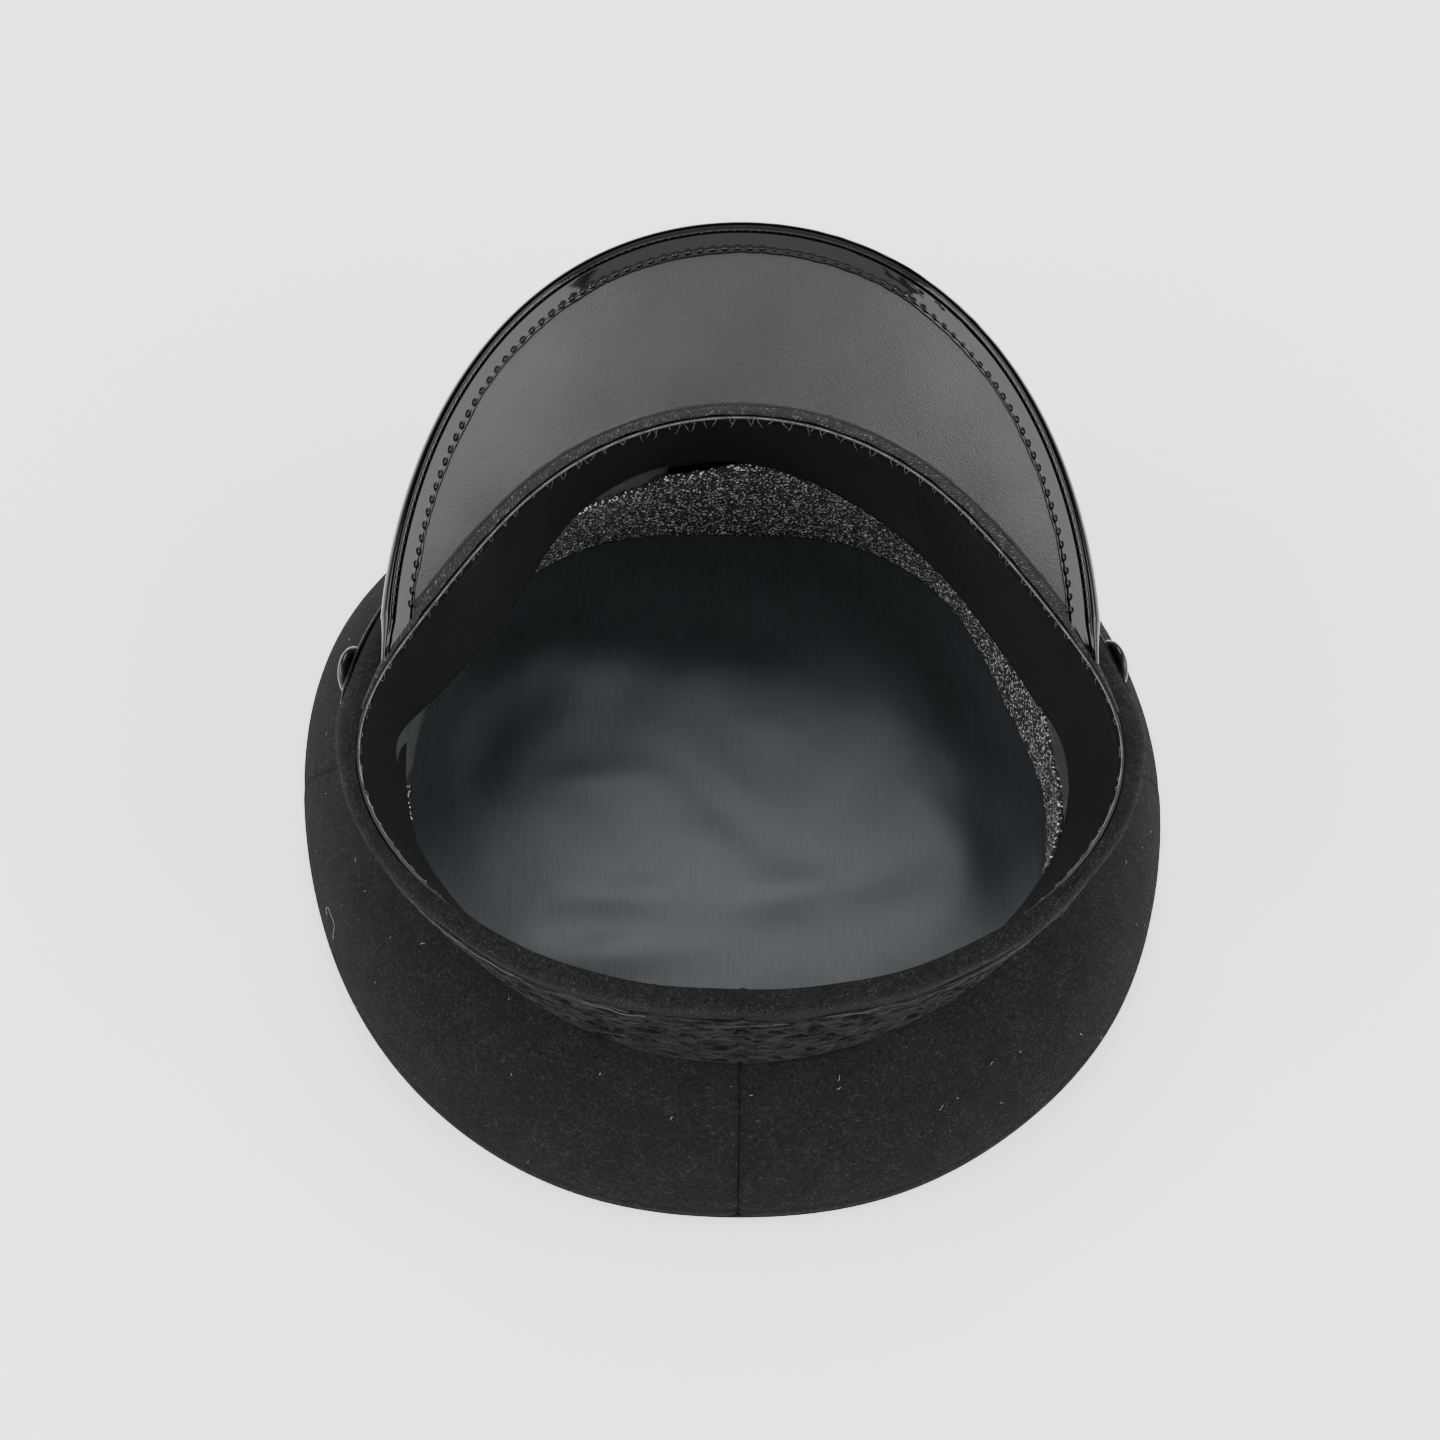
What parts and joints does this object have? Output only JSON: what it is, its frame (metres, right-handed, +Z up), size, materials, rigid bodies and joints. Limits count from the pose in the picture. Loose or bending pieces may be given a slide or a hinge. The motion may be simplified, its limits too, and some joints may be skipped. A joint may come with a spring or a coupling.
{
  "type": "chauffeur cap",
  "caption": "Black wool chauffeur cap with a patent peak, strap and buttons, lying on its crown with the lined head opening up.",
  "frame": {"origin": "middle of the flat of the crown tip, on the floor the upturned cap lies on, below the middle of the head opening", "axes": "+Z up through the head opening, +Y from the back of the cap towards the peak, +X to the right seen from the back of the lying cap"},
  "size_m": [0.2516, 0.2558, 0.1264],
  "materials": {
    "wool": "black wool melton with a fine fuzz",
    "braid": "dark woven ornamental braid",
    "patent": "glossy black patent leatherette",
    "grey_leatherette": "matte fine-grained grey leatherette",
    "black_leatherette": "matte black leatherette with stitches along its folded edge",
    "knit_tape": "dark greenish grey knitted tape",
    "grey_plastic": "smooth grey stiffener strip",
    "foam": "open-cell speckled foam",
    "satin": "slate grey satin lining, softly folded",
    "gloss_black": "polished black button"
  },
  "bodies": {
    "root": {"crown_tip": "wool", "quarter_front_right": "wool", "quarter_back_right": "wool", "quarter_back_left": "wool", "quarter_front_left": "wool", "band": "wool", "braid": "braid", "sweatband": "black_leatherette", "band_stiffener": "grey_plastic", "foam_ring": "foam", "lining": "satin", "peak_board": "patent", "peak_facing": "grey_leatherette", "peak_binding": "patent", "rim_tape": "knit_tape", "chin_strap": "patent", "button_right": "gloss_black", "button_left": "gloss_black"}
  },
  "joints": []
}
